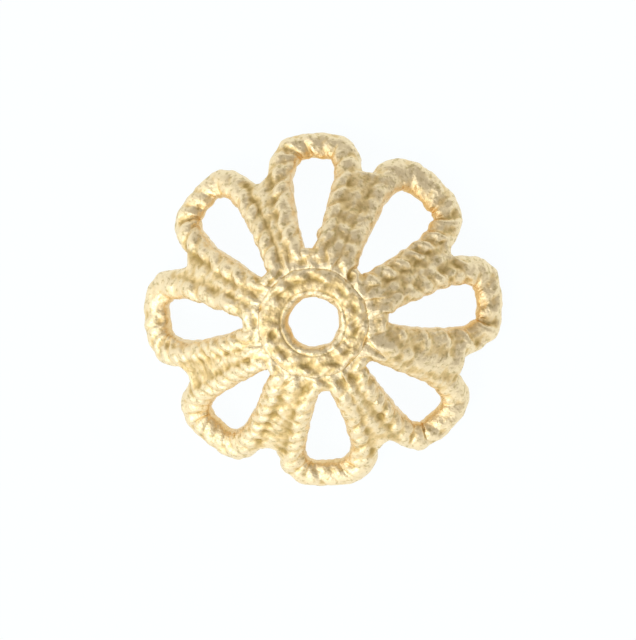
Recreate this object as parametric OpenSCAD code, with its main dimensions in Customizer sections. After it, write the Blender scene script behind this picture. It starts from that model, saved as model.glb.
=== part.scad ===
// Eight-petal filigree bead cap, cast in one piece. The dome stands up, the petal tips rest on z = 0
// and the bead hole runs along the z axis.

/* [Cap] */
// diameter over the widest petal tips
cap_d = 10; // [9.5:0.1:11]
// height from the petal tips to the crest of the crown rope
cap_h = 3.1; // [2.8:0.05:3.6]
// diameter at which the crown rolls over into the sloping petals
crown_d = 3.7; // [3.4:0.1:4.1]
// softness of that roll
crown_roll_r = 0.65; // [0.4:0.05:0.8]
// diameter across the notches between the petals
notch_d = 7.9; // [7.6:0.1:8.3]

/* [Eyelet] */
// diameter of the bead hole
hole_d = 1.4; // [1.2:0.05:1.6]
// width of the plain ring round the hole
eyelet_w = 0.24; // [0.2:0.02:0.3]
// height of the plain ring over the middle of the crown
eyelet_rise = 0.17; // [0.14:0.01:0.22]
// thickness of the crown below its middle
eyelet_depth = 0.38; // [0.3:0.02:0.5]
// width of the groove between the plain ring and the crown rope
groove_w = 0.13; // [0.08:0.01:0.18]
// height of that groove's floor over the middle of the crown
groove_rise = 0.12; // [0.06:0.01:0.13]
// how far in from the hole's wall the plain ring's lip rounds off, as a share of its width
lip_share = 0.72; // [0.5:0.02:0.8]

/* [Ropes] */
// diameter of the rope round the crown
crown_rope_d = 0.5; // [0.4:0.02:0.56]
// strand crossings of the crown rope for each petal
crown_twists = 1.5; // [1:0.5:2]
// diameter of the rope along the petals
petal_rope_d = 0.64; // [0.56:0.02:0.68]
// how much wider the outer side is at the shoulders of a petal's tip, as a share of the rope's radius
shoulder_flare = 0.3; // [0.1:0.05:0.4]
// how much wider the side towards the window is round a petal's tip, as a share of the rope's radius
tip_inner = 0.45; // [0.2:0.05:0.5]
// how far the rope stands upright round a petal's tip: 0 leans out with the dome, 1 is plumb
tip_upright = 0.45; // [0.2:0.05:0.6]
// depth of the cast rim below the middle of a petal rope
rim_depth = 0.4; // [0.32:0.02:0.5]
// depth of the grooves of the twist, as a share of the rope's radius
twist_cut = 0.28; // [0.16:0.02:0.34]
// strand crossings round one petal
petal_twists = 18; // [16:2:20]

/* [Webs] */
// height of a web's face over the middle of the casting
web_rise = 0.15; // [0.1:0.01:0.18]
// depth of a web's back below the middle of the casting
web_depth = 0.3; // [0.24:0.02:0.36]

/* [Petals] */
// direction of the first petal, degrees from +x
first_dir = 3.2; // [0:0.2:6]
// squareness of the petal loops: 2 is an ellipse
squareness = 3.3; // [2.8:0.1:3.8]

/* [Hidden] */
gold = [0.87, 0.76, 0.53];
$fn = 72;

// One row for each petal, counterclockwise from the first:
// turn      degrees away from even spacing
// lean      degrees that the tip turns on from the petal's middle
// spread    half angle between the ropes, as a share of half the spacing
// clear     how far the loop's inner end stands off the crown rope, as a share of the rope's radius
// reach     radius of the tip, as a share of the cap's
// notch     radius of the notch after this petal, as a share of the notches'
// rope      thickness of the rope, as a share of the ropes'
// fill      height that casting has filled in over the web after this petal, in mm
petals = [
    // turn, lean, spread, clear, reach, notch, rope, fill
    [-0.1, 0.3, 0.625, 0.80, 1.006, 0.99, 1.00, 0.05],
    [0.1, 0.3, 0.725, 0.25, 0.985, 1.02, 1.10, 0.09],
    [-0.4, -1.1, 0.60, 0.85, 0.99, 0.975, 0.96, 0.04],
    [-1.2, 0.4, 0.64, 0.40, 0.98, 0.955, 0.95, 0.05],
    [0.0, 0.3, 0.64, 0.54, 1.00, 1.00, 1.00, 0.09],
    [-0.5, 0.2, 0.61, 0.30, 1.005, 0.99, 1.04, 0.08],
    [1.3, -3.3, 0.66, 0.49, 0.995, 0.985, 1.00, 0.08],
    [1.0, -2.5, 0.62, 0.34, 0.98, 1.03, 0.98, 0.14],
];
petal_count = len(petals);
spacing = 360 / petal_count;
middle_petal = [0, 0, 0.64, 0.6, 1, 1, 1, 0];

hole_r = hole_d / 2;
eyelet_r = hole_r + eyelet_w;
crown_rope_r = crown_rope_d / 2;
crown_ring_r = eyelet_r + groove_w + crown_rope_r;
petal_rope_r = petal_rope_d / 2;
// the crown rope and the petal loops meet in a valley on this circle
hub_r = crown_ring_r + 0.72 * crown_rope_r;
loop_in_r = crown_ring_r + crown_rope_r;
loop_out_r = cap_d / 2 - petal_rope_r;
notch_r = notch_d / 2;
// the rim's outer corner, on which the cap rests
foot_out = 0.5 * petal_rope_r;

// Dome: nearly flat over the crown, then a steady slope.
function roll_arm(r) = norm([r - crown_d / 2, crown_roll_r]);
function roll(r) = (r - crown_d / 2 + roll_arm(r)) / 2;
function roll_rate(r) = (1 + (r - crown_d / 2) / roll_arm(r)) / 2;
// slope factor at which the crown rope's crest stands cap_h over the petals' feet
function solve_rise(m, tries) = tries == 0 ? m : let (
        tilt = (1 - tip_upright) * atan(m * roll_rate(loop_out_r)),
        foot = rim_depth * cos(tilt) + foot_out * sin(tilt)
    ) solve_rise((cap_h - crown_rope_r - foot) / (roll(loop_out_r) - roll(crown_ring_r)), tries - 1);
rise = solve_rise(0.8, 6);
function slope(r) = atan(rise * roll_rate(r));
foot_slope = (1 - tip_upright) * slope(loop_out_r);
apex_z = rise * roll(loop_out_r) + rim_depth * cos(foot_slope) + foot_out * sin(foot_slope);
function mid_z(r) = apex_z - rise * roll(r);
// point at radius r in direction dir, x out along the dome and y out from its middle surface
function dome_point(r, dir, x, y) = let (
        tilt = slope(r),
        out = r + x * cos(tilt) + y * sin(tilt)
    ) [out * cos(dir), out * sin(dir), mid_z(r) - x * sin(tilt) + y * cos(tilt)];

// Petal loops: a squared ellipse in radius and direction, u from 1 at its inner end to -1 at its tip.
function squircle(a) = pow(pow(abs(cos(a)), squareness) + pow(abs(sin(a)), squareness), -1 / squareness)
    * [cos(a), sin(a)];
function row_of(k) = petals[(k + petal_count) % petal_count];
function petal_dir(k, u) = first_dir + spacing * k + row_of(k)[0] - row_of(k)[1] * u;
function petal_spread(k) = row_of(k)[2] * spacing / 2;
function loop_radius(row, u) = let (
        near = loop_in_r + row[3] * petal_rope_r,
        far = row[4] * cap_d / 2 - row[6] * petal_rope_r
    ) (near + far) / 2 + (near - far) / 2 * u;
function middle_radius(a) = loop_radius(middle_petal, squircle(a).x);
function loop_point(k, a) = let (
        q = squircle(a),
        r = loop_radius(row_of(k), q.x),
        dir = petal_dir(k, q.x) - petal_spread(k) * q.y
    ) [r * cos(dir), r * sin(dir), mid_z(middle_radius(a))];
function middle_point(a) = let (q = squircle(a), dir = -middle_petal[2] * spacing / 2 * q.y)
    dome_point(middle_radius(a), dir, 0, 0);

// Stations stand evenly along the middle petal's loop, three for each crossing of the twist.
per_twist = 3;
stations = per_twist * petal_twists;
loop_parts = 240;
loop_lengths = let (points = [for (n = [0:loop_parts]) middle_point(360 * n / loop_parts)])
    [for (n = 0, run = 0; n <= loop_parts;
          run = run + (n < loop_parts ? norm(points[n + 1] - points[n]) : 0), n = n + 1)
        [run, 360 * n / loop_parts]];
loop_length = loop_lengths[loop_parts][0];
function wrap(s) = s - stations * floor(s / stations);
function angle_at(s) = lookup(wrap(s) * loop_length / stations, loop_lengths);
function station_radius(s) = middle_radius(angle_at(s));
function end_stations(s) = min(wrap(s), stations - wrap(s));
// 1 round a loop's tip and 0 along its legs, from this many stations on
tip_from = 14;
tip_stations = 8;
function soft_step(t) = let (x = max(0, min(1, t))) x * x * (3 - 2 * x);
function at_tip(s) = soft_step((end_stations(s) - tip_from) / tip_stations);

// frame of the loop at a station: its middle, the way out from the window, the way up from the dome
function unit(v) = v / norm(v);
function loop_frame(k, s) = let (
        step = 0.3,
        here = loop_point(k, angle_at(s)),
        ahead = unit(loop_point(k, angle_at(s + step)) - loop_point(k, angle_at(s - step))),
        tilt = slope(station_radius(s)) * (1 - tip_upright * at_tip(s)),
        flat = unit([here.x, here.y, 0]),
        up = [0, 0, cos(tilt)] + sin(tilt) * flat,
        out = unit(cross(ahead, up))
    ) [here, out, cross(out, ahead)];
function place(frame, x, y) = frame[0] + x * frame[1] + y * frame[2];

// Line midway between the ropes of petal k and the next, and how far a rope's middle stands from it.
function between_dir(k, u) = (petal_dir(k, u) + petal_spread(k)
    + petal_dir(k + 1, u) - petal_spread(k + 1)) / 2;
function side_room(k, s) = let (
        q = squircle(angle_at(s)),
        r = loop_radius(row_of(k), q.x),
        dir = petal_dir(k, q.x) - petal_spread(k) * q.y,
        line = q.y > 0 ? between_dir(k - 1, q.x) : between_dir(k, q.x),
        apart = abs(dir - line)
    ) min(r - hub_r, r * sin(apart));
function row_notch(k) = row_of(k)[5] * notch_r;
// height of the web after petal k over the middle of the casting, filled in a few stations out from the hub
fill_from = 6;
fill_stations = 3;
function web_height(k, s) = web_rise + row_of(k)[7] * max(0, min(1, (s - fill_from) / fill_stations));

hub_parts = 3;
hub_count = 2 * hub_parts * petal_count;
notch_station = len([for (s = [0:stations / 2]) if (station_radius(s) < notch_r) s]);
line_count = notch_station - hub_parts;

// Rope surface: psi runs from the crest towards the side away from the window, in degrees.
function twist_radius(radius, s, left) =
    radius * (1 - left * twist_cut * (1 - abs(sin(180 * s / per_twist))));
foot_psi = acos(web_rise / petal_rope_r);
// stations by which a strand runs ahead of its foot on the web when it has wound round to psi
function twist_lead(psi) = per_twist * (psi - foot_psi) / 180;
// share of the twist left at psi: the rim's outer side is smooth
smooth_from = 30;
smooth_left = 0.25;
function twist_left(psi) = psi < smooth_from ? 1 : max(smooth_left, 1 - (psi - smooth_from) / 80);
// the rope thins where it turns round a window's narrow inner end
inner_thin = 0.25;
thin_stations = 5;
function rope_radius(k, s) =
    row_of(k)[6] * petal_rope_r * (1 - inner_thin * max(0, 1 - end_stations(s) / thin_stations));
// and its outer side is wider at the two shoulders of a tip, this many stations past the notches
shoulder_past = 2.5;
shoulder_stations = 5;
function flare(s) = let (away = abs(end_stations(s) - notch_station - shoulder_past) / shoulder_stations)
    shoulder_flare * pow(cos(90 * min(1, away)), 2);
function rope_point(k, s, psi) = let (
        at = s + twist_lead(psi),
        radius = twist_radius(rope_radius(k, at), s, twist_left(psi)),
        wide = 1 + (psi > 0 ? flare(at) : tip_inner * at_tip(at))
    ) place(loop_frame(k, at), wide * radius * sin(psi), radius * cos(psi));
seam = 0.05;
// where the rope's outer side ends: on the web, or just short of the line between two petals
function foot_angle(k, s) = let (
        radius = twist_radius(rope_radius(k, s), s, 1),
        room = side_room(k, s) - seam,
        web = web_height(s < stations / 2 ? k - 1 : k, end_stations(s))
    ) min(acos(min(1, web / petal_rope_r)), asin(min(1, max(0.1, room / radius))));
function on_tip(s) = s > notch_station && s < stations - notch_station;

// Border between petals. Its height over the dome is the web's, or the valley's between two close ropes.
middle_room = [for (s = [0:stations - 1]) let (q = squircle(angle_at(s)))
    middle_radius(angle_at(s)) * sin(max(0, spacing / 2 - middle_petal[2] * spacing / 2 * abs(q.y)))];
function valley(k, s) = s <= hub_parts ? web_rise : let (share = min(1, middle_room[s] / petal_rope_r))
    max(web_height(k, s), 0.8 * petal_rope_r * sqrt(1 - share * share));
// radius of the line's points: beside the rope's stations, drawn in to the hub and out to the notch
function line_radius(k, s) = let (
        along = (s - hub_parts) / (notch_station - hub_parts),
        hub_gap = hub_r - station_radius(hub_parts),
        notch_gap = row_notch(k) - station_radius(notch_station)
    ) station_radius(s) + hub_gap * max(0, 1 - 3 * along) + notch_gap * along;
function line_u(s) = squircle(angle_at(s)).x;
function line_point(k, s, level) =
    dome_point(line_radius(k, s), between_dir(k, line_u(s)), 0, level == 1 ? valley(k, s) : -web_depth);
hub_dirs = [for (k = [-1:petal_count]) each [
    [2 * hub_parts * k, between_dir(k - 1, 1)],
    [2 * hub_parts * k + hub_parts, petal_dir(k, 1)]]];
function hub_dir(g) = lookup(g, hub_dirs);
function hub_point(g, level) = dome_point(hub_r, hub_dir(g), 0, level == 1 ? web_rise : -web_depth);

// Border round a tip: the web's edge runs from the notch on to the rope's own flank.
edge_share = [1, 0.45, 0.12, 0];
tip_psi = 100;
function tip_flank(k, s, level) = level == 1 ? rope_point(k, s, tip_psi)
    : place(loop_frame(k, s), 0.88 * petal_rope_r * (1 + flare(s)), -0.72 * rim_depth);
function tip_point(k, s, level) = let (
        near_end = s < stations / 2,
        past = near_end ? s - notch_station : stations - notch_station - s,
        share = edge_share[min(past, len(edge_share) - 1)],
        notch = line_point(near_end ? k - 1 : k, notch_station, level)
    ) (1 - share) * tip_flank(k, s, level) + share * notch;

// The section's own points, from the rope's outer foot over its crest to the window and back below.
inner_psi = -84;
inner_lead = twist_lead(inner_psi);
function section(k, s) = let (
        outer = on_tip(s) ? 0.62 * tip_psi : foot_angle(k, s),
        under = on_tip(s) ? foot_out : min(foot_out, side_room(k, s) / 2),
        low = s + 0.7 * inner_lead,
        back = s + 0.35 * inner_lead,
        low_wide = 1 + 0.6 * tip_inner * at_tip(low)
    ) [
        rope_point(k, s, outer),
        rope_point(k, s, outer / 2),
        rope_point(k, s, 0),
        rope_point(k, s, inner_psi / 2),
        rope_point(k, s, inner_psi),
        place(loop_frame(k, low), -0.94 * low_wide * rope_radius(k, low), -0.5 * rim_depth),
        place(loop_frame(k, back), -0.62 * rope_radius(k, back), -rim_depth),
        place(loop_frame(k, s), under, -rim_depth),
    ];
section_count = 8;

// Crown rope round the hub, its inner edge buried in the eyelet and its twist a little worn.
hub_psi = asin((hub_r - crown_ring_r) / crown_rope_r);
crown_per_twist = 2 * hub_parts / crown_twists;
crown_left = 0.8;
function crown_rope_point(g, psi) = let (
        radius = twist_radius(crown_rope_r, g * per_twist / crown_per_twist, crown_left),
        dir = hub_dir(g + crown_per_twist * (psi - hub_psi) / 180)
    ) dome_point(crown_ring_r, dir, radius * sin(psi), radius * cos(psi));
function crown_section(g) = let (inner_dir = hub_dir(g - crown_per_twist / 2)) [
    crown_rope_point(g, 38),
    crown_rope_point(g, 8),
    crown_rope_point(g, -22),
    crown_rope_point(g, -55),
    crown_rope_point(g, -88),
    dome_point(eyelet_r, inner_dir, 0, -0.3 * web_depth),
    dome_point(eyelet_r, inner_dir, 0, -0.8 * web_depth),
    dome_point(crown_ring_r, hub_dir(g), 0, -web_depth),
];
crown_section_count = 8;

// All points, in five blocks, and the place of each block.
tip_count = stations - 2 * notch_station - 1;
line_start = 2 * hub_count;
tip_start = line_start + 2 * petal_count * line_count;
petal_start = tip_start + 2 * petal_count * tip_count;
crown_start = petal_start + petal_count * stations * section_count;
filigree_points = [
    for (g = [0:hub_count - 1]) each [hub_point(g, 0), hub_point(g, 1)],
    for (k = [0:petal_count - 1], s = [hub_parts + 1:notch_station])
        each [line_point(k, s, 0), line_point(k, s, 1)],
    for (k = [0:petal_count - 1], s = [notch_station + 1:stations - notch_station - 1])
        each [tip_point(k, s, 0), tip_point(k, s, 1)],
    for (k = [0:petal_count - 1], s = [0:stations - 1]) each section(k, s),
    for (g = [0:hub_count - 1]) each crown_section(g),
];

function hub_index(g, level) = 2 * ((g + hub_count) % hub_count) + level;
function line_index(k, s, level) =
    line_start + 2 * (((k + petal_count) % petal_count) * line_count + s - hub_parts - 1) + level;
function border_index(k, s, level) =
    let (back = stations - s, middle = 2 * hub_parts * k + hub_parts)
    s <= hub_parts ? hub_index(middle - s, level)
    : back <= hub_parts ? hub_index(middle + back, level)
    : s <= notch_station ? line_index(k - 1, s, level)
    : back <= notch_station ? line_index(k, back, level)
    : tip_start + 2 * (k * tip_count + s - notch_station - 1) + level;
function petal_index(k, s, j) = let (t = s % stations)
    j < 2 ? border_index(k, t, j) : petal_start + (k * stations + t) * section_count + j - 2;
function crown_index(g, j) = let (t = g % hub_count)
    j < 2 ? hub_index(t, j) : crown_start + t * crown_section_count + j - 2;
function two_triangles(a, b, c, d) = [[a, b, c], [a, c, d]];
petal_ring = section_count + 2;
crown_ring = crown_section_count + 2;
filigree_faces = [
    for (k = [0:petal_count - 1], s = [0:stations - 1], j = [0:petal_ring - 1])
        let (open = s >= notch_station && s < stations - notch_station, n = (j + 1) % petal_ring)
        if (j > 0 || open)
            each two_triangles(petal_index(k, s, j), petal_index(k, s, n),
                petal_index(k, s + 1, n), petal_index(k, s + 1, j)),
    for (g = [0:hub_count - 1], j = [1:crown_ring - 1])
        let (n = (j + 1) % crown_ring)
        each two_triangles(crown_index(g, j), crown_index(g, n),
            crown_index(g + 1, n), crown_index(g + 1, j)),
];

// Crown rope, petal ropes and webs: the whole casting but the eyelet.
module filigree() {
    color(gold)
        polyhedron(points = filigree_points, faces = filigree_faces, convexity = 10);
}

// Plain ring whose lip rounds over into the bead hole, and the groove's floor outside it.
module eyelet() {
    lip_w = lip_share * eyelet_w;
    lip_drop = 0.9 * eyelet_w;
    flange_r = crown_ring_r - 0.66 * crown_rope_r;
    lip = [for (a = [0:18:90]) [hole_r + lip_w * (1 - sin(a)), eyelet_rise - lip_drop * (1 - cos(a))]];
    profile = concat([
        [hole_r, -eyelet_depth],
        [flange_r, -eyelet_depth],
        [flange_r, groove_rise],
        [eyelet_r, groove_rise],
    ], lip);
    color(gold)
        translate([0, 0, mid_z(eyelet_r)])
            rotate_extrude()
                polygon(profile);
}

module bead_cap() {
    union() {
        filigree();
        eyelet();
    }
}

bead_cap();
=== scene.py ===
"""Gold-plated filigree bead cap: eight petals of twisted rope round an eyelet, cast in one piece."""
import logging
import math
from dataclasses import dataclass
from enum import Enum

import bpy
import numpy as np
from mathutils import Matrix


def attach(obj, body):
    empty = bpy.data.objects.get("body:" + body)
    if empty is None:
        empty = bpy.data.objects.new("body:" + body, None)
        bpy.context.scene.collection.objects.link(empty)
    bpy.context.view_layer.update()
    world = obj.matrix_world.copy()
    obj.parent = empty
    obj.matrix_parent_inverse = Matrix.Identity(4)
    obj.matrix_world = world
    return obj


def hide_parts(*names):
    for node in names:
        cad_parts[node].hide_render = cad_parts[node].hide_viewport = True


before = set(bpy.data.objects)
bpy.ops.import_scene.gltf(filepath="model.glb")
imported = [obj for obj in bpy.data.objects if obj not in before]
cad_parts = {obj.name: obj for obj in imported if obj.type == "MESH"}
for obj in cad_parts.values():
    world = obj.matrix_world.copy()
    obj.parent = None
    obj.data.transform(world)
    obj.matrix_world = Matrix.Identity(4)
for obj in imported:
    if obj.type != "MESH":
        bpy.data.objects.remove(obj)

LOG = logging.getLogger("bead_cap")
MM = 0.001
NODE = "bead_cap"
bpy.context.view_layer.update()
Array = np.ndarray
Values = np.ndarray | float


# Sizes of the casting

PETAL_COLUMNS = [("turn", float), ("lean", float), ("spread", float), ("clear", float),
                 ("reach", float), ("notch", float), ("rope", float)]
# One row for each petal, counterclockwise from the first:
# turn      degrees away from even spacing
# lean      degrees that the tip turns on from the petal's middle
# spread    half angle between the ropes, as a share of half the spacing
# clear     how far the loop's inner end stands off the crown rope, as a share of the rope's radius
# reach     radius of the tip, as a share of the cap's
# notch     radius of the notch after this petal, as a share of the notches'
# rope      thickness of the rope, as a share of the ropes'
PETALS = np.array([
    (-0.1, 0.3, 0.625, 0.80, 1.006, 0.99, 1.00),
    (0.1, 0.3, 0.725, 0.25, 0.985, 1.02, 1.10),
    (-0.4, -1.1, 0.60, 0.85, 0.99, 0.975, 0.96),
    (-1.2, 0.4, 0.64, 0.40, 0.98, 0.955, 0.95),
    (0.0, 0.3, 0.64, 0.54, 1.00, 1.00, 1.00),
    (-0.5, 0.2, 0.61, 0.30, 1.005, 0.99, 1.04),
    (1.3, -3.3, 0.66, 0.49, 0.995, 0.985, 1.00),
    (1.0, -2.5, 0.62, 0.34, 0.98, 1.03, 0.98),
], dtype=PETAL_COLUMNS)
# Share of the twist's depth left on each petal's first and second leg
RELIEF = np.array([
    (1.2, 0.8), (1.3, 0.3), (0.6, 0.8), (0.6, 0.9), (0.7, 0.6), (0.6, 0.5), (0.45, 0.55), (0.9, 0.3),
])
# Power of the crests' wave on each petal's first and second leg: 1 is round, more is narrower
NARROW = np.ones((len(PETALS), 2))
NARROW[:2, 0] = 3.0, 2.0
# Millimetres by which casting has filled the valley after each petal, more than in the solid after the
# first, second and last
FILL = np.array([0.12, 0.12, 0.04, 0.05, 0.09, 0.08, 0.08, 0.18])
# Share of the painted warm reflection, gold lit by gold, on the walls of each petal's window
WALL_REFLECTION = np.array([1.0, 1.0, 0.9, 0.6, 0.6, 0.7, 0.6, 0.8])
# Strand crossings added to each petal's first and second leg
MORE_TWISTS = np.array([(-2.5, 0), (0.5, 0), (0, 0), (0, 0), (-3, 4), (4, 3), (2, 2), (0, 0)])
MIDDLE_PETAL = np.array([(0.0, 0.0, 0.64, 0.6, 1.0, 1.0, 1.0)], dtype=PETAL_COLUMNS)


@dataclass(frozen=True)
class CapSizes:
    """Driving sizes of the casting in metres, the same as the solid's."""

    cap_d: float = 10.0 * MM
    cap_h: float = 3.1 * MM
    crown_d: float = 3.7 * MM
    crown_roll: float = 0.65 * MM
    notch_d: float = 7.9 * MM
    hole_d: float = 1.4 * MM
    eyelet_w: float = 0.24 * MM
    eyelet_rise: float = 0.17 * MM
    eyelet_depth: float = 0.38 * MM
    groove_w: float = 0.13 * MM
    groove_rise: float = 0.12 * MM
    crown_rope_d: float = 0.5 * MM
    petal_rope_d: float = 0.64 * MM
    shoulder_flare: float = 0.3
    rim_depth: float = 0.4 * MM
    tip_upright: float = 0.45
    tip_inner: float = 0.45
    inner_drop: float = 0.02 * MM
    twist_cut: float = 0.28
    petal_twists: int = 18
    web_rise: float = 0.15 * MM
    web_depth: float = 0.3 * MM
    first_dir: float = 3.2
    squareness: float = 3.3

    @property
    def hole_r(self) -> float:
        """Radius of the bead hole."""
        return self.hole_d / 2

    @property
    def eyelet_r(self) -> float:
        """Outer radius of the plain ring round the hole."""
        return self.hole_r + self.eyelet_w

    @property
    def crown_rope_r(self) -> float:
        """Radius of the crown rope's section."""
        return self.crown_rope_d / 2

    @property
    def crown_ring_r(self) -> float:
        """Radius of the circle that the crown rope runs along."""
        return self.eyelet_r + self.groove_w + self.crown_rope_r

    @property
    def petal_rope_r(self) -> float:
        """Radius of a petal rope's section."""
        return self.petal_rope_d / 2

    @property
    def hub_r(self) -> float:
        """Radius of the valley between the crown rope and the petal loops."""
        return self.crown_ring_r + 0.72 * self.crown_rope_r

    @property
    def loop_out_r(self) -> float:
        """Radius at which a full-length loop's middle turns at its tip."""
        return self.cap_d / 2 - self.petal_rope_r

    @property
    def foot_out(self) -> float:
        """How far out from a rope's middle the rim's outer corner lies."""
        return 0.5 * self.petal_rope_r


@dataclass(frozen=True)
class Dome:
    """The casting's middle surface: nearly flat over the crown, then a steady slope."""

    sizes: CapSizes

    def roll(self, r: Values) -> Values:
        """Fall of the surface before its slope factor: the mean of r less the crown's radius and that arm.

        Args:
            r: radius from the hole's axis.

        Returns:
            The unscaled fall at r.
        """
        past = r - self.sizes.crown_d / 2
        return (past + np.hypot(past, self.sizes.crown_roll)) / 2

    def roll_rate(self, r: Values) -> Values:
        """Rate at which roll grows with the radius."""
        past = r - self.sizes.crown_d / 2
        return (1 + past / np.hypot(past, self.sizes.crown_roll)) / 2

    def foot(self, rise: float) -> float:
        """Height of a loop's middle over the rim's lowest corner at a tip, for a slope factor."""
        tilt = (1 - self.sizes.tip_upright) * math.atan(rise * float(self.roll_rate(self.sizes.loop_out_r)))
        return self.sizes.rim_depth * math.cos(tilt) + self.sizes.foot_out * math.sin(tilt)

    @property
    def rise(self) -> float:
        """Slope factor at which the crown rope's crest stands the cap's height over the petals' feet."""
        size = self.sizes
        fall = float(self.roll(size.loop_out_r) - self.roll(size.crown_ring_r))
        factor = 0.8
        for _ in range(6):
            factor = (size.cap_h - size.crown_rope_r - self.foot(factor)) / fall
        return factor

    def height(self, r: Values) -> Values:
        """Height of the middle surface over the plane that the tips rest on."""
        rise = self.rise
        return rise * self.roll(self.sizes.loop_out_r) + self.foot(rise) - rise * self.roll(r)

    def slope(self, r: Values) -> Values:
        """Slope of the middle surface in radians, falling outwards."""
        return np.arctan(self.rise * self.roll_rate(r))

    def point(self, r: Values, turn: Array, x: Values, y: Values) -> Array:
        """Point beside the middle surface: x out along the dome, y square to it, at radius r.

        Args:
            r: radius of the point's foot on the middle surface.
            turn: direction round the axis in degrees.
            x: distance out along the dome.
            y: distance out from the middle surface.

        Returns:
            Points, with x, y and z on the last axis.
        """
        tilt = self.slope(r)
        out = r + x * np.cos(tilt) + y * np.sin(tilt)
        up = self.height(r) - x * np.sin(tilt) + y * np.cos(tilt)
        return polar(out, np.radians(turn), up)


@dataclass(frozen=True)
class Twist:
    """Two strands laid round each other: the rope's radius dips in grooves that wind along it."""

    cut: float
    per_crossing: int = 3
    softness: float = 0.16

    def radius(self, full: Values, station: Array, relief: Values = 1.0,
               narrow: Values = 1.0) -> Array:
        """Radius of the rope, full less the cut times how near the station is to a groove.

        Args:
            full: radius over the strands' crests.
            station: place along the rope, three to each crossing of the strands.
            relief: share of the cut that casting and wear have left.
            narrow: power of the crests' wave, which leaves a narrower crest where it is higher.

        Returns:
            The radius at each station.
        """
        wave = np.abs(np.sin(np.pi * station / self.per_crossing))
        crest = (np.sqrt(wave ** 2 + self.softness ** 2) - self.softness) / (
            math.sqrt(1 + self.softness ** 2) - self.softness)
        return full * (1 - self.cut * relief * (1 - crest ** narrow))

    def lead(self, foot: float, psi: Values) -> Values:
        """Stations by which a strand has run ahead of its foot when it has wound round to psi degrees."""
        return self.per_crossing * (psi - foot) / 180


def polar(r: Values, turn: Values, height: Values) -> Array:
    """Points at a radius, a direction in radians and a height, with x, y and z on the last axis."""
    return np.stack(np.broadcast_arrays(r * np.cos(turn), r * np.sin(turn), height), axis=-1)


def smooth_step(x: Array) -> Array:
    """Zero up to 0, one from 1, and a cubic between them."""
    x = np.clip(x, 0, 1)
    return x * x * (3 - 2 * x)


def unit(v: Array) -> Array:
    """Vectors of length one along the last axis."""
    return v / np.linalg.norm(v, axis=-1, keepdims=True)


class Side(Enum):
    """The two borders of a web or petal, above and below."""

    TOP = 1
    BACK = 0


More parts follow.
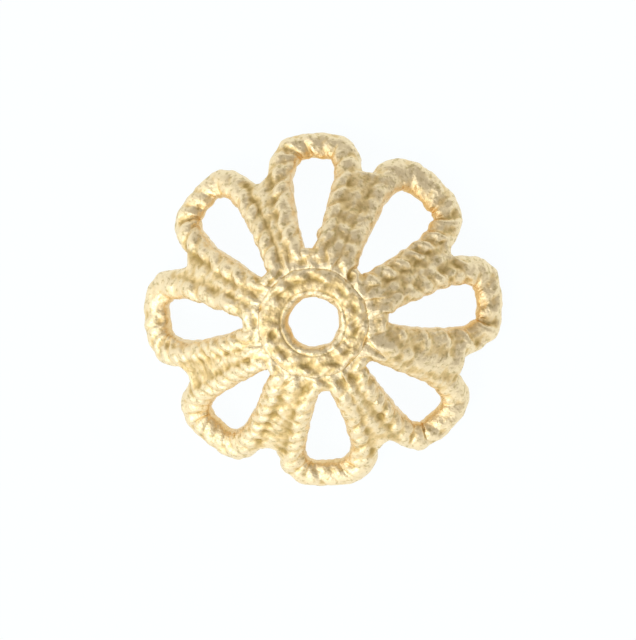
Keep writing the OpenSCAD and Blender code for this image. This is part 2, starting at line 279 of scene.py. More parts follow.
@dataclass
class PetalLoops:
    """The middle lines of the eight petal ropes: squared ellipses in radius and direction."""

    sizes: CapSizes
    dome: Dome
    parts: int = 6000
    tip_from: float = 14.0
    tip_stations: float = 8.0
    hub_stations: int = 3

    def __post_init__(self) -> None:
        """Measure the middle petal's loop, along which the stations stand evenly."""
        self.count = len(PETALS)
        self.spacing = 360 / self.count
        self.stations = 3 * self.sizes.petal_twists
        self.angles = np.linspace(0, 2 * np.pi, self.parts + 1)
        u, v = self.squircle(self.angles)
        turn = -MIDDLE_PETAL["spread"] * self.spacing / 2 * v
        line = self.dome.point(self.radius(MIDDLE_PETAL, u), turn, 0, 0)
        steps = np.linalg.norm(np.diff(line, axis=0), axis=1)
        self.runs = np.concatenate([[0], np.cumsum(steps)])

    def squircle(self, a: Array) -> tuple[Array, Array]:
        """Point of a squared circle at angle a: the cosine and sine over their summed powers' root."""
        power = self.sizes.squareness
        reach = (np.abs(np.cos(a)) ** power + np.abs(np.sin(a)) ** power) ** (-1 / power)
        return reach * np.cos(a), reach * np.sin(a)

    def row(self, k: Array) -> Array:
        """Rows of the table for petal numbers that may run past its ends."""
        return PETALS[np.mod(k, self.count)]

    def angle(self, s: Array) -> Array:
        """Angle on the loop of a station, by length along the middle petal's loop."""
        share = np.mod(s, self.stations) / self.stations
        return np.interp(share * self.runs[-1], self.runs, self.angles)

    def direction(self, k: Array, u: Array) -> Array:
        """Direction of a petal's middle in degrees, leaning on towards its tip."""
        row = self.row(k)
        return self.sizes.first_dir + self.spacing * k + row["turn"] - row["lean"] * u

    def spread(self, k: Array) -> Array:
        """Half angle between a petal's two ropes in degrees."""
        return self.row(k)["spread"] * self.spacing / 2

    def radius(self, row: Array, u: Array) -> Array:
        """Radius of a loop's middle, from its inner end at u = 1 to its tip at u = -1."""
        near = self.sizes.crown_ring_r + self.sizes.crown_rope_r + row["clear"] * self.sizes.petal_rope_r
        far = row["reach"] * self.sizes.cap_d / 2 - row["rope"] * self.sizes.petal_rope_r
        return (near + far) / 2 + (near - far) / 2 * u

    def station_radius(self, s: Array) -> Array:
        """Radius of the middle petal's loop at a station."""
        return self.radius(MIDDLE_PETAL, self.squircle(self.angle(s))[0])

    def point(self, k: Array, s: Array) -> Array:
        """Point of a petal's loop: its own radius and direction, at the middle petal's height."""
        u, v = self.squircle(self.angle(s))
        r = self.radius(self.row(k), u)
        turn = np.radians(self.direction(k, u) - self.spread(k) * v)
        return polar(r, turn, self.dome.height(self.station_radius(s)))

    def at_tip(self, s: Array) -> Array:
        """One round a loop's tip, none along its legs: there the rope stands more upright than the dome."""
        past = np.minimum(np.mod(s, self.stations), np.mod(-s, self.stations)) - self.tip_from
        return smooth_step(past / self.tip_stations)

    def frame(self, k: Array, s: Array) -> tuple[Array, Array, Array]:
        """Frame of a loop at a station: its middle, the way out from the window and the way up.

        Args:
            k: petal numbers.
            s: stations along the loop, fractions allowed.

        Returns:
            Points, outward vectors and upward vectors.
        """
        step = 0.3
        here = self.point(k, s)
        ahead = unit(self.point(k, s + step) - self.point(k, s - step))
        tilt = self.dome.slope(self.station_radius(s)) * (1 - self.sizes.tip_upright * self.at_tip(s))
        tilt = tilt[..., None]
        flat = unit(here * np.array([1, 1, 0]))
        up = np.array([0, 0, 1]) * np.cos(tilt) + flat * np.sin(tilt)
        out = unit(np.cross(ahead, up))
        return here, out, np.cross(out, ahead)

    def place(self, k: Array, s: Array, x: Array, y: Array) -> Array:
        """Points beside a loop, x out from its window and y up from the dome."""
        here, out, up = self.frame(k, s)
        return here + np.asarray(x)[..., None] * out + np.asarray(y)[..., None] * up

    def between(self, k: Array, u: Array) -> Array:
        """Direction of the line midway between the ropes of petal k and the next, in degrees."""
        return (self.direction(k, u) + self.spread(k) + self.direction(k + 1, u) - self.spread(k + 1)) / 2


@dataclass
class Filigree:
    """Petal ropes and the webs between them, as one closed skin."""

    sizes: CapSizes
    dome: Dome
    loops: PetalLoops
    fine: int = 6
    web_columns: int = 6
    rope_columns: int = 18
    wall_columns: int = 4
    inner_psi: float = -84.0
    tip_psi: float = 100.0
    inner_thin: float = 0.25
    thin_reach: float = 5.0
    shoulder_past: float = 2.5
    shoulder_reach: float = 5.0
    seam: float = 0.05 * MM
    hub_lift: float = 0.015 * MM
    tuck: float = 0.045 * MM
    share_stations: float = 3.0
    wear: float = 0.85
    unevenness: float = 0.4
    rim_smooth: float = 0.75
    window_smooth: float = 0.6
    back_wide: float = 0.88
    back_deep: float = 0.72
    tip_bulge: float = 0.035 * MM
    wall_turns: tuple[float, ...] = (14, 30, 46, 60, 72, 82)
    wall_in: float = 0.99
    wall_square: float = 0.5
    wall_steep: float = 0.7
    lead_fade: float = 0.8
    valley_share: float = 0.8
    tip_foot: float = 0.62
    tip_rounder: float = 0.4
    # painted warm reflection: its share along the legs, full round the tips, and its share on the outer edges
    leg_reflection: float = 0.3
    edge_reflection: float = 0.2

    def __post_init__(self) -> None:
        """Set the grid of petals and stations and the twist."""
        size = self.sizes
        self.twist = Twist(size.twist_cut)
        self.foot_psi = math.degrees(math.acos(size.web_rise / size.petal_rope_r))
        self.inner_lead = self.twist.lead(self.foot_psi, self.inner_psi)
        self.hub_stations = self.loops.hub_stations
        whole = np.arange(self.loops.stations // 2 + 1)
        self.notch_station = int(np.sum(self.loops.station_radius(whole) < size.notch_d / 2))
        self.k = np.arange(self.loops.count)[:, None]
        self.s = np.arange(self.loops.stations * self.fine)[None, :] / self.fine
        self.near = np.minimum(self.s, self.loops.stations - self.s)
        self.border_k = np.where(self.s <= self.loops.stations / 2, self.k - 1, self.k)
        self.fill = FILL[np.mod(self.border_k, self.loops.count)] * MM
        past = np.maximum(0, self.near - self.notch_station)
        self.share = np.clip(1 - past / self.share_stations, 0, 1) ** 2

    def rope_radius(self, s: Array) -> Array:
        """Radius of a petal rope, thinner where it turns round a window's narrow inner end."""
        n = self.loops.stations
        away = np.minimum(np.mod(s, n), n - np.mod(s, n))
        full = self.loops.row(self.k)["rope"] * self.sizes.petal_rope_r
        return full * (1 - self.inner_thin * np.clip(1 - away / self.thin_reach, 0, 1))

    def flare(self, s: Array) -> Array:
        """Share by which a rope's outer side is wider, most at the two shoulders of a tip."""
        near = np.minimum(s, self.loops.stations - s)
        away = np.minimum(1, np.abs(near - self.notch_station - self.shoulder_past) / self.shoulder_reach)
        return self.sizes.shoulder_flare * np.cos(np.pi / 2 * away) ** 2

    def by_leg(self, table: Array) -> Array:
        """Values of a table of legs at every station, blended round the tip."""
        side = smooth_step((self.s - self.loops.stations / 2) / 6 + 0.5)
        return table[:, :1] + (table[:, 1:] - table[:, :1]) * side

    def relief(self, psi: Values) -> Array:
        """Share of the twist left on each leg, less again on the rim's outer side and by the window."""
        leg = self.by_leg(RELIEF)
        # two slow waves out of step with the twist and with each other
        waves = np.sin(0.86 * self.s + 1.9 * self.k) * np.sin(0.57 * self.s + 0.7 * self.k)
        psi = np.asarray(psi)
        smooth = self.rim_smooth * smooth_step((psi - 30) / 60)
        smooth = smooth + self.window_smooth * smooth_step((-psi - 40) / 44)
        return self.wear * leg * (1 + self.unevenness * waves) * (1 - smooth)

    def rope_point(self, psi: Values) -> Array:
        """Points of the ropes' skin at psi degrees from the crest, towards the web where positive."""
        at = self.s + self.twist.lead(self.foot_psi, psi)
        radius = self.twist.radius(self.rope_radius(at), self.crossing(), self.relief(psi),
                                   self.by_leg(NARROW))
        inner = self.sizes.tip_inner * self.loops.at_tip(at)
        wide = 1 + self.flare(at) * (np.asarray(psi) > 0) + inner * (np.asarray(psi) < 0)
        drop = self.sizes.inner_drop * (np.asarray(psi) < 0)
        psi = np.radians(psi)
        return self.loops.place(self.k, at, radius * wide * np.sin(psi), (radius + drop) * np.cos(psi) - drop)

    def crossing(self) -> Array:
        """Place in the twist of each station: some legs are wound tighter or looser than the rest."""
        half = self.loops.stations / 2
        legs = 1 + MORE_TWISTS * self.twist.per_crossing / half
        return legs[:, :1] * np.minimum(self.s, half) + legs[:, 1:] * np.maximum(0, self.s - half)

    def room(self) -> Array:
        """Distance from each station of a loop to the border of its own ground."""
        u, v = self.loops.squircle(self.loops.angle(self.s))
        r = self.loops.radius(self.loops.row(self.k), u)
        turn = self.loops.direction(self.k, u) - self.loops.spread(self.k) * v
        apart = np.radians(np.abs(turn - self.loops.between(self.border_k, u)))
        return np.minimum(r - self.sizes.hub_r, r * np.sin(apart))

    def valley(self) -> Array:
        """Height of the border over the dome: the web's, or that of the valley between two close ropes."""
        _, v = self.loops.squircle(self.loops.angle(self.near))
        half = self.loops.spacing / 2
        apart = np.radians(np.maximum(0, half - MIDDLE_PETAL["spread"] * half * np.abs(v)))
        share = np.minimum(1, self.loops.station_radius(self.near) * np.sin(apart) / self.sizes.petal_rope_r)
        low = self.sizes.web_rise + self.fill
        high = np.maximum(low, self.valley_share * self.sizes.petal_rope_r * np.sqrt(1 - share ** 2))
        fade = smooth_step((self.near - self.hub_stations) / 2)
        hub_lift = self.hub_lift * (1 - smooth_step((self.near - self.hub_stations) / 5))
        return low + (high - low) * fade + hub_lift

    def border(self, side: Side) -> Array:
        """Border of each petal's ground: the hub circle, the lines between petals, then the rope's own flank.

        Args:
            side: the web's face or its back.

        Returns:
            Points for each petal and station.
        """
        size, loops = self.sizes, self.loops
        height = self.valley() if side is Side.TOP else -size.web_depth
        hub_height = size.web_rise + self.hub_lift if side is Side.TOP else -size.web_depth
        # hub circle
        to_middle = np.clip(self.near / self.hub_stations, 0, 1)
        middle, corner = loops.direction(self.k, 1.0), loops.between(self.border_k, 1.0)
        tuck = self.tuck if side is Side.TOP else 0.0
        hub = self.dome.point(size.hub_r - tuck, middle + (corner - middle) * to_middle, 0, hub_height)
        # line between petals, held at the notch beyond it
        s = np.clip(self.near, self.hub_stations, self.notch_station)
        along = (s - self.hub_stations) / (self.notch_station - self.hub_stations)
        hub_gap = size.hub_r - loops.station_radius(np.array(float(self.hub_stations)))
        notch = loops.row(self.border_k)["notch"] * size.notch_d / 2
        notch_gap = notch - loops.station_radius(np.array(float(self.notch_station)))
        r = loops.station_radius(s) + hub_gap * np.maximum(0, 1 - 3 * along) + notch_gap * along
        u = loops.squircle(loops.angle(s))[0]
        held = np.where(self.near > self.notch_station, size.web_rise, height) if side is Side.TOP else height
        line = self.dome.point(r, loops.between(self.border_k, u), 0, held)
        edge = np.where((self.near <= self.hub_stations)[..., None], hub, line)
        # the rope's flank round the tip
        if side is Side.TOP:
            flank = self.rope_point(self.tip_psi)
        else:
            wide = self.back_wide * size.petal_rope_r * (1 + self.flare(self.s))
            flank = loops.place(self.k, self.s, wide, -self.back_deep * size.rim_depth)
        share = self.share[..., None]
        return edge * share + flank * (1 - share)

    def face(self) -> Array:
        """Skin of one turn round each rope's section, from the web's face over the crest and back below.

        Web columns blend the straight way from the border to the rope's foot with the rope's own flank, rope
        columns follow the twisted section, and the last columns are a squared quarter ellipse down the window
        side, the flat back, and the way out to the border below.

        Returns:
            Points for each petal, station and column.
        """
        size, loops = self.sizes, self.loops
        top, low = self.border(Side.TOP), self.border(Side.BACK)
        full = self.rope_radius(self.s)
        fit = np.degrees(np.arcsin(np.clip((self.room() - self.seam) / full, 0.1, 1)))
        web_foot = np.degrees(np.arccos(np.minimum((size.web_rise + self.fill) / size.petal_rope_r, 1)))
        foot = np.minimum(web_foot, fit)
        foot = foot * self.share + self.tip_foot * self.tip_psi * (1 - self.share)
        columns = []
        foot_point = self.rope_point(foot)
        for part in np.linspace(0, 1, self.web_columns, endpoint=False):
            web = top + (foot_point - top) * part
            flank = self.rope_point(self.tip_psi + (foot - self.tip_psi) * part)
            share = self.share[..., None]
            columns.append(web * share + flank * (1 - share))
        for part in np.linspace(0, 1, self.rope_columns):
            columns.append(self.rope_point(foot + (self.inner_psi - foot) * part))
        front = len(columns)
        for turn in np.radians(self.wall_turns):
            left = 1 - turn / (np.pi / 2)
            at = self.s + self.inner_lead * left ** self.lead_fade
            tip = loops.at_tip(at)
            radius = self.twist.radius(self.rope_radius(at), self.crossing(),
                                       left * self.relief(self.inner_psi), self.by_leg(NARROW))
            wide = 1 + size.tip_inner * tip * (1 - np.sin(turn))
            x = -self.wall_in * radius * wide * np.cos(turn) ** (self.wall_square + self.tip_rounder * tip)
            y = -size.inner_drop + (size.inner_drop - size.rim_depth) * np.sin(turn) ** self.wall_steep
            columns.append(loops.place(self.k, at, x, y))
        under = np.minimum(size.foot_out, np.maximum(self.room(), 0) / 2)
        under = under * self.share + size.foot_out * (1 - self.share)
        for part in (0.0, 0.6, 1.0):
            columns.append(loops.place(self.k, self.s, under * part, -size.rim_depth))
        corner = columns[-1]
        for part in (0.35, 0.7, 1.0):
            columns.append(corner + (low - corner) * part)
        # painted warm reflection from the crest's window side to the foot of the wall, full round the tips
        foot_at = front + len(self.wall_turns)
        knots = [front - 8, front - 1, foot_at, foot_at + 3]
        ramp = np.interp(np.arange(len(columns)), knots, [0, 1, 1, self.edge_reflection])
        warm = WALL_REFLECTION[:, None] * (self.leg_reflection + (1 - self.leg_reflection) * loops.at_tip(self.s))
        return with_value(np.stack(columns, axis=2), ramp * warm[..., None])

    def wall(self, top: Array, low: Array) -> Array:
        """Wall between the two borders where no neighbour joins on: round the tips and at the hub.

        Args:
            top: border points on the face.
            low: border points on the back.

        Returns:
            Points for each petal, station and column, bulging a little outwards round the tips.
        """
        part = np.linspace(0, 1, self.wall_columns + 1)
        mid = (top + low)[..., :2] / 2
        radial = np.concatenate([unit(mid), np.zeros_like(mid[..., :1])], axis=-1)
        _, out, _ = self.loops.frame(self.k, self.s)
        share = self.share[..., None]
        away = unit(radial * share + out * (1 - share))
        bulge = np.where(self.near < self.notch_station, 0, self.tip_bulge)
        line = top[:, :, None] + (low - top)[:, :, None] * part[:, None]
        line = line + (bulge[..., None, None] * away[:, :, None]) * np.sin(np.pi * part)[:, None]
        # a little painted warm reflection down the outer walls
        return with_value(line, self.edge_reflection * part)

    def build(self) -> tuple[Array, Array]:
        """Join the faces and walls of all petals into one closed skin.

        Returns:
            Vertices and four-sided faces.
        """
        skin = self.face()
        wall = self.wall(skin[:, :, 0, :3], skin[:, :, -1, :3])
        sheets = [grid_sheet(petal) for petal in skin]
        open_steps = (self.near[0] >= self.notch_station) & (np.roll(self.near[0], -1) >= self.notch_station)
        hub_steps = (self.near[0] <= self.hub_stations) & (np.roll(self.near[0], -1) <= self.hub_stations)
        for k in range(self.loops.count):
            points, faces = grid_sheet(wall[k][:, ::-1])
            steps = np.repeat(open_steps | hub_steps, self.wall_columns)
            sheets.append((points, faces[steps]))
        return weld(sheets)


def with_value(points: Array, value: Array) -> Array:
    """Points with a fourth value on the last axis: the share of painted warm reflection at each, on the walls
    of the windows and the hole.
    """
    shape = points.shape[:-1]
    return np.concatenate([points, np.broadcast_to(value, shape)[..., None]], axis=-1)


def grid_sheet(points: Array) -> tuple[Array, Array]:
    """Quads over a grid of points, its last row joined on to the first.

    They face out when the columns run counterclockwise seen along the rows.

    Args:
        points: rows by columns by four: x, y, z and the share of painted warm reflection at the point.

    Returns:
        Flat vertices and quads.
    """
    rows, columns = points.shape[:2]
    here = np.arange(rows * columns).reshape(rows, columns)
    ahead = np.roll(here, -1, axis=0)
    quads = np.stack([here[:, :-1], ahead[:, :-1], ahead[:, 1:], here[:, 1:]], axis=-1)
    return points.reshape(-1, 4), quads.reshape(-1, 4)


def weld(sheets: list[tuple[Array, Array]], grain: float = 1e-8) -> tuple[Array, Array]:
    """Join sheets, merging points that fall on the same grain and dropping unused ones.

    Args:
        sheets: vertices and quads of each sheet.
        grain: size of the cells in which points are taken as one.

    Returns:
        Vertices and quads of the whole.
    """
    starts = np.cumsum([0] + [len(points) for points, _ in sheets])
    points = np.concatenate([points for points, _ in sheets])
    faces = np.concatenate([faces + start for (_, faces), start in zip(sheets, starts)])
    keys = np.round(points[:, :3] / grain).astype(np.int64)
    _, first, same = np.unique(keys, axis=0, return_index=True, return_inverse=True)
    faces = same.reshape(-1)[faces]
    used, faces = np.unique(faces, return_inverse=True)
    return points[first][used], faces.reshape(-1, 4)


@dataclass
class Crown:
    """Eyelet and crown rope: one profile turned round the hole, with the rope's twist pressed into it."""

    sizes: CapSizes
    dome: Dome
    loops: PetalLoops
    fine: int = 14
    rope_columns: int = 26
    outer_psi: float = 76.0
    inner_psi: float = -44.0
    per_crossing: int = 4
    groove_columns: int = 8
    groove_fill: float = 0.055 * MM
    pit_r: float = 1.03 * MM
    pit_w: float = 0.075 * MM
    pit_depth: float = 0.07 * MM
    softness: float = 0.24
    wind: float = 1.3
    wear: float = 0.8
    outer_smooth: float = 0.7
    lip_share: float = 0.72
    # direction of the light that the painted warm reflection in the bore is strongest towards, and its least
    # share
    reflection_dir: float = 195.0
    least_reflection: float = 0.2

    def __post_init__(self) -> None:
        """Set the stations round the hole and the twist."""
        self.twist = Twist(self.sizes.twist_cut, self.per_crossing, self.softness)
        self.hub_stations = self.loops.hub_stations
        self.count = 2 * self.hub_stations * self.loops.count
        self.g = np.arange(self.count * self.fine) / self.fine
        ring = self.sizes.hub_r - self.sizes.crown_ring_r
        self.hub_psi = math.degrees(math.asin(ring / self.sizes.crown_rope_r))

    def direction(self, g: Array) -> Array:
        """Direction in degrees of a station of the crown rope, keeping step with the petals."""
        k = np.arange(-1, self.loops.count + 2)
        knots = np.concatenate([2 * self.hub_stations * k, 2 * self.hub_stations * k + self.hub_stations])
        turns = np.concatenate([self.loops.between(k - 1, 1.0), self.loops.direction(k, 1.0)])
        order = np.argsort(knots)
        return np.interp(g, knots[order], turns[order])

    def rope(self, psi: float) -> Array:
        """Points of the crown rope's skin at psi degrees from its crest, outwards where positive."""
        uneven = 1 + 0.5 * np.sin(0.93 * self.g) * np.sin(0.61 * self.g + 1.0)
        relief = self.wear * uneven * (1 - self.outer_smooth * smooth_step(np.array((psi - 5) / 45)))
        radius = self.twist.radius(self.sizes.crown_rope_r, self.g, relief)
        turn = self.direction(self.g + self.wind * self.twist.lead(self.hub_psi, psi))
        psi = math.radians(psi)
        return self.dome.point(self.sizes.crown_ring_r, turn, radius * math.sin(psi), radius * math.cos(psi))

    def turned(self, r: float, y: float, lead: float) -> Array:
        """Plain circle of radius r at height y over the crown's middle, its stations turned on by lead."""
        turn = np.radians(self.direction(self.g + lead))
        z = float(self.dome.height(self.sizes.eyelet_r)) + y
        return polar(r, turn, z - self.pits(r, turn))

    def pits(self, r: float, turn: Array) -> Array:
        """Depth of the pits where the twist's grooves meet the eyelet: Gaussian bumps round the hole.

        Args:
            r: radius of the circle that is being dented.
            turn: directions of its points in radians.

        Returns:
            How far each point sinks.
        """
        count = self.count // self.per_crossing
        step = 2 * np.pi / count
        number = np.round(turn / step)
        off = (turn - number * step) * self.pit_r
        uneven = 0.65 + 0.35 * np.sin(2.3 * np.mod(number, count))
        return self.pit_depth * uneven * np.exp(-(off ** 2 + (r - self.pit_r) ** 2) / self.pit_w ** 2)

    def build(self) -> tuple[Array, Array]:
        """Skin of the crown: buried outer wall, rope, groove, lip, bore and back, closed on itself.

        Returns:
            Vertices and four-sided faces.
        """
        size = self.sizes
        rope = [self.rope(psi) for psi in np.linspace(self.outer_psi, self.inner_psi, self.rope_columns)]
        lead = self.wind * self.twist.lead(self.hub_psi, self.inner_psi)
        inner = size.crown_ring_r - size.crown_rope_r
        across = np.linspace(inner + 0.05 * MM, size.eyelet_r - 0.02 * MM, self.groove_columns)
        groove = np.stack([across, np.full_like(across, size.groove_rise + self.groove_fill)], axis=-1)
        turn = np.radians(np.arange(-40, 91, 10))
        lip_w = self.lip_share * size.eyelet_w
        lip = np.stack([size.hole_r + lip_w * (1 - np.sin(turn) * np.where(turn < 0, 0.6, 1)),
                        size.eyelet_rise - 0.9 * size.eyelet_w * (1 - np.cos(turn))], axis=-1)
        deep = size.eyelet_depth
        # rows of distance out from the hole's or eyelet's edge in mm, and depth as a share of the eyelet's
        bore = np.array([(0, 0.3), (0, 0.5), (0, 0.7), (0, 0.93), (0.02, 0.985), (0.05, 1)])
        back = np.array([(0, 1), (0.04, 0.97), (0.055, 0.9), (0.08, 0.85)])
        bore = bore * (MM, -deep) + (size.hole_r, 0)
        back = back * (MM, -deep) + (size.eyelet_r, 0)
        profile = np.concatenate([groove, lip, bore, back])
        leads = np.linspace(lead, 0, len(profile))
        plain = [self.turned(r, y, on) for (r, y), on in zip(profile, leads)]
        tilt = [self.dome.point(r, self.direction(self.g), 0, y) for r, y in (
            (size.crown_ring_r, -1.05 * size.web_depth), (size.hub_r, -1.03 * size.web_depth),
            (size.hub_r + 0.06 * MM, -0.7 * size.web_depth), (size.hub_r + 0.08 * MM, -0.1 * size.web_depth),
            (size.hub_r + 0.08 * MM, 0.4 * size.web_rise))]
        grid = np.stack(rope + plain + tilt, axis=1)
        first = len(rope) + len(groove) + len(lip)
        last = first + len(bore) - 1
        # painted warm reflection over the lip's inner half and down the bore, strongest on the side facing
        # the light
        knots = [first - 8, first - 3, last, last + 3]
        ramp = np.interp(np.arange(grid.shape[1]), knots, [0, 1, 1, self.least_reflection])
        facing_light = 0.5 + 0.5 * np.cos(np.radians(self.direction(self.g) - self.reflection_dir))
        warm = self.least_reflection + (1 - self.least_reflection) * facing_light[:, None] ** 2
        grid = with_value(grid, ramp * warm)
        return weld([grid_sheet(np.concatenate([grid, grid[:, :1]], axis=1))])


@dataclass(frozen=True)
class CastSkin:
    """What casting does to a sharp form: soft edges, a faint wobble, and how deep each point lies."""

    soften: int = 3
    wobble: float = 0.014 * MM
    wobble_size: float = 0.45 * MM
    grain: float = 0.005 * MM
    grain_size: float = 0.17 * MM
    knob: float = 0.013 * MM
    knob_size: float = 0.44 * MM
    knob_from: float = 1.5 * MM
    knob_to: float = 2.5 * MM
    knob_below: float = 0.4
    hollow_rounds: int = 22
    hollow_depth: float = 0.03 * MM
    # added to every point's hollow measure: more makes the whole piece darker and rougher
    hollow_offset: float = 0.0
    seed: int = 7

    @staticmethod
    def neighbours(count: int, faces: Array) -> tuple[Array, Array, Array]:
        """Both ends of every edge, each way, and how many edges meet at each point."""
        ends = np.concatenate([faces, np.roll(faces, -1, axis=1)]).reshape(-1)
        others = np.concatenate([np.roll(faces, -1, axis=1), faces]).reshape(-1)
        return ends, others, np.bincount(ends, minlength=count)[:, None]

    @staticmethod
    def means(points: Array, links: tuple[Array, Array, Array]) -> Array:
        """Mean of each point's neighbours."""
        ends, others, degree = links
        sums = [np.bincount(ends, weights=points[others, axis], minlength=len(points)) for axis in range(3)]
        return np.stack(sums, axis=-1) / degree

    @staticmethod
    def normals(points: Array, faces: Array) -> Array:
        """Normals at the points: the summed cross products of the diagonals of the faces round each."""
        a, b, c, d = (points[faces[:, n]] for n in range(4))
        flat = np.cross(c - a, d - b)
        sums = [np.bincount(faces.reshape(-1), weights=np.repeat(flat[:, axis], 4), minlength=len(points))
                for axis in range(3)]
        return unit(np.stack(sums, axis=-1) + 1e-30)

    @staticmethod
    def swell(points: Array, chance: np.random.Generator, size: float, count: int = 28) -> Array:
        """Sum of plane waves of about this length in random directions, of order one."""
        waves = chance.normal(size=(count, 3)) * (2 * np.pi / size) / math.sqrt(3)
        phases = chance.uniform(0, 2 * np.pi, count)
        return np.sin(points @ waves.T + phases).sum(axis=1) / math.sqrt(count / 2)

    def finish(self, points: Array, faces: Array) -> tuple[Array, Array]:
        """Soften the form, add the wobble as a sum of plane waves, and measure the hollows.

        Args:
            points: vertices of the sharp form, with their fourth value.
            faces: its quads.

        Returns:
            The new vertices, and for each how deep it lies below its surroundings, 0 to 1.
        """
        links = self.neighbours(len(points), faces)
        points = points[:, :3]
        for _ in range(self.soften):
            points = (points + self.means(points, links)) / 2
        chance = np.random.default_rng(self.seed)
        normals = self.normals(points, faces)
        swell = self.wobble * self.swell(points, chance, self.wobble_size)
        swell += self.grain * self.swell(points, chance, self.grain_size)
        reach = np.linalg.norm(points[:, :2], axis=1)
        near = 1 - smooth_step((reach - self.knob_from) / (self.knob_to - self.knob_from))
        near *= self.knob_below + (1 - self.knob_below) * smooth_step(normals[:, 2])
        swell += self.knob * near * self.swell(points, chance, self.knob_size)
        points = points + normals * swell[:, None]
        points[:, 2] = np.maximum(points[:, 2], 0)
        # how far each point lies below its smoothed surroundings, which the plating paints darker as shade
        spread = points
        for _ in range(self.hollow_rounds):
            spread = (spread + self.means(spread, links)) / 2
        hollow = ((spread - points) * normals).sum(axis=1) / self.hollow_depth
        return points, np.clip(0.5 + 0.5 * hollow + self.hollow_offset, 0, 1)


def add_object(name: str, data: bpy.types.ID) -> bpy.types.Object:
    """Add an object to the scene."""
    item = bpy.data.objects.new(name, data)
    bpy.context.scene.collection.objects.link(item)
    return item


def new_piece(name: str, points: Array, faces: Array, hollow: Array, inside: Array) -> bpy.types.Object:
    """Make a smooth-shaded mesh object with its two measures as point attributes.

    Args:
        name: name of the object.
        points: vertices in metres.
        faces: quads.
        hollow: measure for each vertex, 0 on crests to 1 in grooves.
        inside: share of painted warm reflection for each vertex, 1 on the walls of the windows and the hole.

    Returns:
        The linked object.
    """
    mesh = bpy.data.meshes.new(name)
    mesh.vertices.add(len(points))
    mesh.vertices.foreach_set("co", points.astype(np.float32).reshape(-1))
    mesh.loops.add(faces.size)
    mesh.loops.foreach_set("vertex_index", faces.astype(np.int32).reshape(-1))
    mesh.polygons.add(len(faces))
    mesh.polygons.foreach_set("loop_start", np.arange(0, faces.size, 4, dtype=np.int32))
    mesh.update(calc_edges=True)
    mesh.polygons.foreach_set("use_smooth", np.ones(len(faces), dtype=bool))
    for label, values in (("hollow", hollow), ("inside", inside)):
        mesh.attributes.new(label, "FLOAT", "POINT").data.foreach_set("value", values.astype(np.float32))
    mesh.validate()
    return add_object(name, mesh)


# Finishes

Socket = bpy.types.NodeSocket
Colour = tuple[float, float, float]


@dataclass(frozen=True)
class Wiring:
    """A tree of shader nodes, with the kinds of node that the plating and the surround share."""

    tree: bpy.types.NodeTree

    def feed(self, target: Socket, source: object) -> None:
        """Link an output to an input, or set the input's own value: a colour is made opaque."""
        if isinstance(source, Socket):
            self.tree.links.new(source, target)
        else:
            opaque = isinstance(source, tuple) and target.type == "RGBA"
            target.default_value = (*source, 1) if opaque else source

    def node(self, kind: str, feeds: dict[str | int, object], **settings: str) -> bpy.types.Node:
        """Add a node.

        Args:
            kind: Blender's name for the kind of node.
            feeds: outputs or values, by the name or number of the input that each goes to.
            settings: the node's own settings.

        Returns:
            The node.
        """
        node = self.tree.nodes.new(kind)
        for label, value in settings.items():
            setattr(node, label, value)
        for label, source in feeds.items():
            self.feed(node.inputs[label], source)
        return node

    def mapped(self, value: Socket, span: tuple[float, float], onto: tuple[float, float],
               curve: str = "SMOOTHSTEP") -> Socket:
        """Map a value from one span onto another, held at its ends."""
        feeds = {"Value": value, "From Min": span[0], "From Max": span[1],
                 "To Min": onto[0], "To Max": onto[1]}
        return self.node("ShaderNodeMapRange", feeds, interpolation_type=curve).outputs["Result"]

    def blend(self, share: Socket, first: Socket | Colour, second: Socket | Colour) -> Socket:
        """Blend two colours: a mix node's colours are its inputs 6 and 7 and its output 2."""
        return self.node("ShaderNodeMix", {0: share, 6: first, 7: second}, data_type="RGBA").outputs[2]

    def measure(self, name: str) -> Socket:
        """Read one of the mesh's own measures."""
        return self.node("ShaderNodeAttribute", {}, attribute_name=name).outputs["Fac"]

    def noise(self, place: Socket, size: float, detail: float) -> Socket:
        """Noise with features of about this size in metres."""
        feeds = {"Vector": place, "Scale": 1 / size, "Detail": detail}
        return self.node("ShaderNodeTexNoise", feeds).outputs["Fac"]


